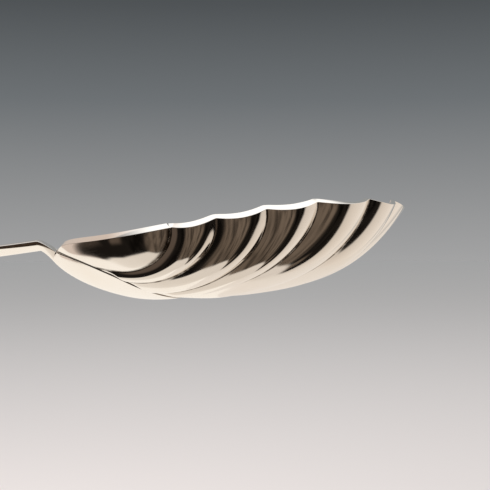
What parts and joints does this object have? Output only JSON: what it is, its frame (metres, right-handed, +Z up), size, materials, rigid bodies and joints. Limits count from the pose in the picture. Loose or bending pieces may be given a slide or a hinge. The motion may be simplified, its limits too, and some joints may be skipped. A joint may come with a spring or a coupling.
{
  "type": "shell-bowl teaspoon",
  "caption": "Silver teaspoon with a deep fluted scallop-shell bowl, a dressed wavy rim and a plain tapering handle lapped and soldered under the heel of the bowl.",
  "frame": {"origin": "middle of the spoon's box, on the table that the spoon rests on", "axes": "+X from the handle's end to the bowl's tip, +Z up, mirror plane at y = 0"},
  "size_m": [0.1376, 0.0344, 0.0137],
  "materials": {
    "bowl_silver": "polished silver sheet with fine wear, darkened in the creases between the flutes",
    "handle_silver": "polished forged silver with fine wear",
    "silver_solder": "dull silver solder"
  },
  "bodies": {
    "root": {"bowl": "bowl_silver", "handle": "handle_silver", "solder_seam": "silver_solder"}
  },
  "joints": []
}
